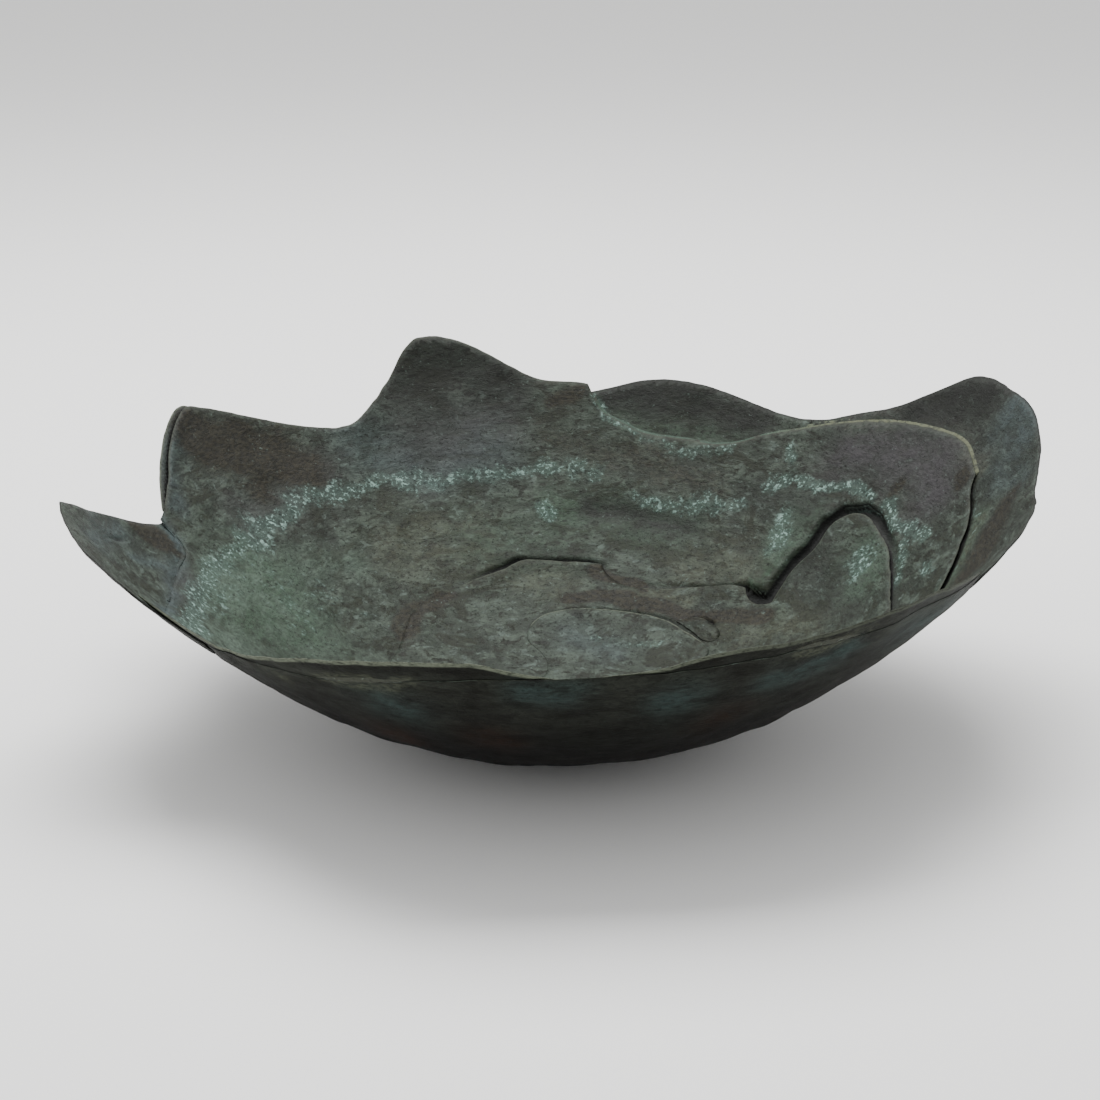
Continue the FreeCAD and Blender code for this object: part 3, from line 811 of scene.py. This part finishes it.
class Shader:
    """A short way to write a material's nodes."""

    def __init__(self, name):
        self.material = bpy.data.materials.new(name)
        self.material.use_nodes = True
        self.tree = self.material.node_tree
        self.surface = self.tree.nodes["Principled BSDF"]
        self.place = self.tree.nodes.new("ShaderNodeTexCoord").outputs["Object"]
        streaks = self.node("ShaderNodeMapping", {"vector_type": "POINT"}, Vector=self.place)
        streaks.inputs["Scale"].default_value = (1.0, 1.0, STREAK)
        self.streaked = streaks.outputs["Vector"]

    def node(self, kind, settings=None, **inputs):
        """A node with its settings, and its inputs set or linked by name."""
        made = self.tree.nodes.new(kind)
        for key, value in (settings or {}).items():
            setattr(made, key, value)
        for key, value in inputs.items():
            self.connect(made.inputs[key], value)
        return made

    def connect(self, socket, value):
        """Link a socket to another node's output, or set it to a plain value."""
        if isinstance(value, bpy.types.NodeSocket):
            self.tree.links.new(value, socket)
        else:
            socket.default_value = value

    def noise(self, scale, detail=4.0, roughness=0.55, distortion=0.0, place=None):
        """Noise from about 0.25 to 0.75, with features of about 1/scale metres."""
        made = self.node("ShaderNodeTexNoise", Vector=place or self.place)
        made.inputs["Scale"].default_value = scale
        made.inputs["Detail"].default_value = detail
        made.inputs["Roughness"].default_value = roughness
        made.inputs["Distortion"].default_value = distortion
        return made.outputs["Fac"]

    def mask(self, name):
        """A number kept on the mesh."""
        made = self.node("ShaderNodeAttribute", {"attribute_name": name})
        return made.outputs["Fac"]

    def tints(self):
        """The mask of each tint, by name."""
        found = {}
        for layer, names in TINT_LAYERS:
            kept = self.node("ShaderNodeAttribute", {"attribute_name": layer})
            split = self.node("ShaderNodeSeparateColor", Color=kept.outputs["Color"])
            for tint, channel in zip(names, ("Red", "Green", "Blue")):
                found[tint] = split.outputs[channel]
            found[names[3]] = kept.outputs["Alpha"]
        return found

    def math(self, operation, a, b=0.0):
        """Arithmetic on two numbers."""
        made = self.node("ShaderNodeMath", {"operation": operation})
        self.connect(made.inputs[0], a)
        self.connect(made.inputs[1], b)
        return made.outputs[0]

    def step(self, value, low, high):
        """A smooth step from 0 at low to 1 at high. It falls instead where low is over high."""
        made = self.node("ShaderNodeMapRange", {"interpolation_type": "SMOOTHSTEP"}, Value=value)
        rising = low < high
        made.inputs["From Min"].default_value = min(low, high)
        made.inputs["From Max"].default_value = max(low, high)
        made.inputs["To Min"].default_value = 0.0 if rising else 1.0
        made.inputs["To Max"].default_value = 1.0 if rising else 0.0
        return made.outputs["Result"]

    def mix(self, share, first, second, blend="MIX"):
        """Two colours mixed by a share."""
        made = self.node("ShaderNodeMix", {"data_type": "RGBA", "blend_type": blend})
        self.connect(made.inputs["Factor"], share)
        self.connect(made.inputs["A"], first)
        self.connect(made.inputs["B"], second)
        return made.outputs["Result"]

    def speckled(self, share, tone, noise, darkest):
        """A colour broken up by dark and light speckle."""
        light = colour(1.5, 1.5, 1.5)
        spread = self.mix(self.step(noise, 0.40, 0.60), darkest, light)
        return self.mix(share, tone, spread, "MULTIPLY")

    def bump(self, height, strength, distance, normal=None):
        """A bump from a height, on top of another bump."""
        made = self.node("ShaderNodeBump", Height=height)
        made.inputs["Strength"].default_value = strength
        made.inputs["Distance"].default_value = distance
        if normal is not None:
            self.tree.links.new(normal, made.inputs["Normal"])
        return made.outputs["Normal"]


def colour(red, green, blue):
    """An opaque colour."""
    return (red, green, blue, 1.0)


def mottled(shader, mask, noise, evenness=0.35):
    """A mask that shows through noise, from 0 to 1."""
    patchy = shader.step(noise, 0.40, 0.58)
    patchy = shader.math("ADD", shader.math("MULTIPLY", patchy, 1 - evenness), evenness)
    return shader.math("MULTIPLY", mask, patchy)


def ragged(shader, mask, noise, softness=0.12):
    """A mask with ragged, fairly crisp edges."""
    total = shader.math("ADD", mask, noise)
    return shader.step(total, 1.0 - softness, 1.0 + softness)


def patina_inside():
    """Grey-green patina with speckled verdigris, brown and violet stains, painted shade that darkens the
    upper walls, and black painted shade along seams and in channels.
    """
    shader = Shader("patina_inside")
    tints = shader.tints()
    broad = shader.noise(16.0, 5.0, 0.6, 0.6)
    middle = shader.noise(70.0, 8.0, 0.68, 0.3, shader.streaked)
    patches = shader.noise(130.0, 6.0, 0.6, 0.5, shader.streaked)
    fine = shader.noise(330.0, 6.0, 0.72, 0.0, shader.streaked)
    grain = shader.noise(950.0, 3.0, 0.7)
    crumbs = shader.noise(560.0, 4.0, 0.62)
    clusters = shader.noise(150.0, 4.0, 0.6)
    clots = shader.noise(290.0, 3.0, 0.5)
    blots = shader.noise(36.0, 6.0, 0.6, 1.2, shader.streaked)

    cloudy = shader.step(broad, 0.38, 0.60)
    tone = shader.mix(cloudy, colour(0.016, 0.021, 0.015), colour(0.026, 0.034, 0.025))
    tone = shader.mix(shader.step(middle, 0.45, 0.62), tone, colour(0.047, 0.061, 0.047))
    tone = shader.mix(shader.step(patches, 0.47, 0.38), tone, colour(0.011, 0.013, 0.008))
    tone = shader.mix(shader.step(patches, 0.57, 0.66), tone, colour(0.060, 0.079, 0.066))
    tone = shader.mix(shader.step(blots, 0.47, 0.40), tone, colour(0.015, 0.018, 0.011))

    tone = shader.mix(mottled(shader, tints["pale"], middle), tone, colour(0.050, 0.055, 0.036))
    tone = shader.mix(mottled(shader, tints["mist"], blots, 0.40), tone, colour(0.070, 0.100, 0.076))
    tone = shader.mix(mottled(shader, tints["moss"], patches, 0.35), tone, colour(0.034, 0.056, 0.036))
    tone = shader.mix(mottled(shader, tints["slate"], middle, 0.45), tone, colour(0.041, 0.058, 0.059))
    tone = shader.mix(mottled(shader, tints["violet"], middle, 0.55), tone, colour(0.037, 0.035, 0.037))
    tone = shader.mix(mottled(shader, tints["dark"], middle, 0.70), tone, colour(0.0085, 0.0095, 0.0075))
    flaked = shader.step(fine, 0.4, 0.6)
    rust = shader.mix(flaked, colour(0.008, 0.007, 0.0035), colour(0.020, 0.0175, 0.0105))
    rusted = shader.math("MULTIPLY", ragged(shader, tints["brown"], patches, 0.25), 0.92)
    tone = shader.mix(rusted, tone, rust)

    tone = shader.speckled(0.4, tone, fine, colour(0.38, 0.38, 0.37))

    thinned = shader.math("MULTIPLY", tints["verdigris"], 0.8)
    crust = ragged(shader, thinned, clusters, 0.24)
    haze = shader.math("MULTIPLY", crust, 0.36)
    tone = shader.mix(haze, tone, colour(0.055, 0.100, 0.082))
    flecks = shader.math("MAXIMUM", shader.step(crumbs, 0.55, 0.64), shader.step(clots, 0.59, 0.65))
    salts = shader.math("MULTIPLY", crust, flecks)
    tone = shader.mix(salts, tone, shader.mix(grain, colour(0.08, 0.14, 0.12), colour(0.33, 0.46, 0.41)))
    dust = shader.math("MULTIPLY", shader.step(crumbs, 0.60, 0.68), shader.step(clusters, 0.50, 0.62))
    tone = shader.mix(shader.math("MULTIPLY", dust, 0.6), tone, colour(0.10, 0.14, 0.12))
    pits = shader.math("MULTIPLY", shader.step(crumbs, 0.42, 0.35), 0.7)
    tone = shader.mix(pits, tone, colour(0.005, 0.006, 0.004))

    # Painted shade: from about 70 mm height up to 135 mm the inner colour is darkened by about a fifth,
    # standing in for the dimmer light on the upper walls.
    height = shader.node("ShaderNodeSeparateXYZ", Vector=shader.place).outputs["Z"]
    shade = shader.math("MULTIPLY", shader.step(height, 0.070, 0.135), 0.45)
    tone = shader.mix(shade, tone, shader.mix(1.0, tone, colour(0.55, 0.53, 0.50), "MULTIPLY"))
    return finish_patina(shader, tone, (middle, fine, grain), salts, pits, 0.20)


def finish_patina(shader, tone, noises, salts, pits, gloss):
    """Pale edges, partly worn and partly painted highlight, rims painted dark as shade, black painted
    shade along seams and in channels, gloss and grit.
    """
    middle, fine, grain = noises
    edge = shader.mask("edge")
    edge_wear_and_lighting = shader.mask("edge_wear_and_lighting")
    # Painted shade: every rim is darkened within about 1 mm of its edge, standing in for the shade on the
    # sheet's edge thickness.
    rim = shader.step(edge, 1.0, 0.1)
    tone = shader.mix(shader.math("MULTIPLY", rim, 0.7), tone, colour(0.007, 0.008, 0.006))
    # Pale edges: partly wear, partly a painted highlight where the rims catch light.
    worn_and_lit = shader.math("MULTIPLY", shader.math("MULTIPLY", rim, edge_wear_and_lighting), shader.step(fine, 0.30, 0.56))
    tone = shader.mix(worn_and_lit, tone, colour(0.120, 0.135, 0.100))
    # Painted shade: the beaten channels are painted near-black where they are deeper than about 1 to 2
    # mm, standing in for the shade in them.
    torn = shader.math("ADD", shader.mask("depth"), shader.math("MULTIPLY", fine, 1.2))
    painted_channel_shade = shader.step(torn, 0.95, 2.0)
    tone = shader.mix(shader.math("MULTIPLY", painted_channel_shade, 0.97), tone, colour(0.0015, 0.002, 0.0015))
    # Painted shade: the lower sheet is darkened within about 3 mm of an upper sheet's edge, and black
    # right beside it, standing in for the shade in the crevice.
    near = shader.math("ADD", shader.mask("seam"), shader.math("MULTIPLY", middle, -1.2))
    painted_seam_shade = shader.math("MULTIPLY", shader.step(near, 2.8, 0.2), 0.5)
    tone = shader.mix(painted_seam_shade, tone, colour(0.008, 0.009, 0.007))
    tone = shader.mix(shader.step(near, 0.5, -0.1), tone, colour(0.0015, 0.0015, 0.001))

    dull = shader.math("ADD", shader.math("MULTIPLY", fine, 0.34), 0.40)
    dull = shader.math("ADD", dull, shader.math("MULTIPLY", salts, 0.25))
    shader.connect(shader.surface.inputs["Base Color"], tone)
    shader.connect(shader.surface.inputs["Roughness"], dull)
    shader.surface.inputs["Metallic"].default_value = 0.08
    shader.surface.inputs["IOR"].default_value = 1.45
    shader.surface.inputs["Specular IOR Level"].default_value = gloss
    crust = shader.bump(salts, 0.5, 0.0006)
    grit = shader.bump(middle, 0.55, 0.0016, crust)
    grit = shader.bump(fine, 0.45, 0.0008, grit)
    grit = shader.bump(grain, 0.30, 0.0003, grit)
    shader.connect(shader.surface.inputs["Normal"], shader.bump(pits, 0.4, -0.0005, grit))
    return shader.material


def patina_outside():
    """Brown-black patina with slate and reddish patches, painted near-black low down as shade, and with a
    painted shadow under the pale rims.
    """
    shader = Shader("patina_outside")
    tints = shader.tints()
    broad = shader.noise(14.0, 5.0, 0.62, 0.8)
    middle = shader.noise(52.0, 8.0, 0.68, 0.4, shader.streaked)
    fine = shader.noise(300.0, 6.0, 0.72, 0.0, shader.streaked)
    grain = shader.noise(850.0, 3.0, 0.7)
    crumbs = shader.noise(520.0, 4.0, 0.62)

    # Painted shade: the low outside is painted near-black, blending to lighter patina between 30 and 90
    # mm height, standing in for the unlit underside.
    cloudy = shader.step(broad, 0.40, 0.60)
    low = shader.mix(cloudy, colour(0.0012, 0.0011, 0.0007), colour(0.0030, 0.0029, 0.0019))
    low = shader.mix(shader.step(middle, 0.54, 0.70), low, colour(0.0080, 0.0085, 0.0065))
    mixed = shader.step(middle, 0.36, 0.62)
    high = shader.mix(mixed, colour(0.0060, 0.0060, 0.0042), colour(0.0180, 0.0200, 0.0155))
    height = shader.node("ShaderNodeSeparateXYZ", Vector=shader.place).outputs["Z"]
    tone = shader.mix(shader.step(height, 0.030, 0.090), low, high)
    tone = shader.mix(mottled(shader, tints["slate"], middle, 0.35), tone, colour(0.025, 0.040, 0.037))
    tone = shader.mix(mottled(shader, tints["brown"], middle, 0.4), tone, colour(0.019, 0.008, 0.004))
    tone = shader.mix(mottled(shader, tints["pale"], middle, 0.4), tone, colour(0.036, 0.040, 0.031))
    tone = shader.mix(mottled(shader, tints["verdigris"], fine, 0.3), tone, colour(0.062, 0.068, 0.046))
    tone = shader.speckled(0.45, tone, fine, colour(0.40, 0.40, 0.40))
    # Painted shadow: a dark band within about 8 mm of the pale-edged rims, standing in for the shade
    # under the rim's lip.
    painted_rim_shadow = shader.math("MULTIPLY", shader.step(shader.mask("edge"), 8.0, 2.5), shader.mask("edge_wear_and_lighting"))
    tone = shader.mix(shader.math("MULTIPLY", painted_rim_shadow, 0.6), tone, colour(0.003, 0.003, 0.002))
    salts = shader.math("MULTIPLY", shader.step(crumbs, 0.60, 0.68), shader.step(broad, 0.48, 0.60))
    salts = shader.math("MULTIPLY", salts, 0.5)
    tone = shader.mix(salts, tone, colour(0.036, 0.052, 0.044))
    pits = shader.math("MULTIPLY", shader.step(crumbs, 0.42, 0.35), 0.6)
    tone = shader.mix(pits, tone, colour(0.0010, 0.0010, 0.0008))
    return finish_patina(shader, tone, (middle, fine, grain), salts, pits, 0.08)


def braze_filler():
    """Pale, crusty braze with green and dark spots, bluish at the left and green at the back."""
    shader = Shader("braze_filler")
    middle = shader.noise(160.0, 5.0, 0.65)
    fine = shader.noise(620.0, 5.0, 0.7)
    place = shader.node("ShaderNodeSeparateXYZ", Vector=shader.place).outputs
    blue = colour(0.045, 0.060, 0.060)
    green = colour(0.030, 0.055, 0.038)
    straw = colour(0.085, 0.092, 0.054)
    tone = shader.mix(shader.step(place["X"], 0.10, 0.15), green, straw)
    tone = shader.mix(shader.step(place["X"], -0.10, -0.16), tone, blue)
    tone = shader.mix(shader.step(place["Y"], -0.02, -0.10), tone, colour(0.030, 0.033, 0.022))
    tone = shader.mix(shader.step(middle, 0.50, 0.36), tone, colour(0.026, 0.030, 0.021))
    tone = shader.mix(shader.step(fine, 0.44, 0.32), tone, colour(0.010, 0.012, 0.008))
    bloom = shader.math("MULTIPLY", shader.step(fine, 0.58, 0.68), 0.5)
    tone = shader.mix(bloom, tone, colour(0.15, 0.20, 0.16))
    shader.connect(shader.surface.inputs["Base Color"], tone)
    shader.surface.inputs["Roughness"].default_value = 0.72
    shader.surface.inputs["Specular IOR Level"].default_value = 0.30
    shader.connect(shader.surface.inputs["Normal"], shader.bump(fine, 0.5, 0.0005))
    return shader.material


def plain(name, tone, roughness):
    """A single-coloured finish for the stage."""
    shader = Shader(name)
    shader.surface.inputs["Base Color"].default_value = tone
    shader.surface.inputs["Roughness"].default_value = roughness
    return shader.material


# --- the bowl -----------------------------------------------------------------------------------

INSIDE = patina_inside()
OUTSIDE = patina_outside()
FILLER = braze_filler()

COARSE_STEP = 2.3
FINE_STEP = 1.8
RAGGED = {"back_wall": 0.55, "floor_liner": 0.6, "floor_leaf": 0.5, "floor_sliver": 0.4}

for sheet in OUTER_SHEETS + WALL_SHEETS + FLOOR_SHEETS:
    spacing = COARSE_STEP if sheet in ("outer_dish", "front_wall") else FINE_STEP
    piece = build_sheet(sheet, spacing, RAGGED.get(sheet, 0.35), [INSIDE, OUTSIDE])
for run in INNER_BRAZES + OUTER_BRAZES:
    finish = INSIDE if run == "left_seam_braze" else FILLER
    piece = build_braze(run, BRAZE_STEP, run in OUTER_BRAZES, finish)


# --- stage, light and camera --------------------------------------------------------------------

def add_floor():
    """A plain pale floor, wide enough to fill the view."""
    mesh = bpy.data.meshes.new("floor")
    half = 14.0
    corners = [(-half, -half, 0), (half, -half, 0), (half, half, 0), (-half, half, 0)]
    mesh.from_pydata(corners, [], [(0, 1, 2, 3)])
    mesh.materials.append(plain("floor_paper", colour(0.92, 0.92, 0.91), 0.9))
    floor = bpy.data.objects.new("floor", mesh)
    floor.location.z = -0.0002
    bpy.context.scene.collection.objects.link(floor)


def add_light(name, power, size, place, target):
    """A square soft light that looks at a place."""
    light = bpy.data.lights.new(name, "AREA")
    light.energy = power
    light.size = size
    lamp = bpy.data.objects.new(name, light)
    lamp.location = place
    lamp.rotation_euler = (Vector(target) - Vector(place)).to_track_quat("-Z", "Y").to_euler()
    bpy.context.scene.collection.objects.link(lamp)


def add_world(strength):
    """An even pale surround."""
    world = bpy.data.worlds.new("surround")
    world.use_nodes = True
    background = world.node_tree.nodes["Background"]
    background.inputs["Color"].default_value = colour(1.0, 1.0, 1.0)
    background.inputs["Strength"].default_value = strength
    bpy.context.scene.world = world


def add_camera():
    """The camera looks along +Y and down, at a point near the middle of the bowl."""
    elevation = math.radians(17.5)
    distance = 1.25
    target = Vector((-0.002, 0.0, 0.0865))
    data = bpy.data.cameras.new("camera")
    data.sensor_width = 36.0
    data.lens = 89.1
    camera = bpy.data.objects.new("camera", data)
    back = Vector((0.0, -math.cos(elevation), math.sin(elevation)))
    camera.location = target + back * distance
    camera.rotation_euler = (math.pi / 2 - elevation, 0.0, 0.0)
    bpy.context.scene.collection.objects.link(camera)
    bpy.context.scene.camera = camera


add_floor()
add_world(1.0)
add_light("overhead", 41.0, 1.3, (-0.1, 0.5, 1.5), (0.0, 0.0, 0.05))
add_light("front_fill", 3.2, 1.2, (-0.9, -1.2, 1.1), (0.0, 0.0, 0.05))
add_camera()
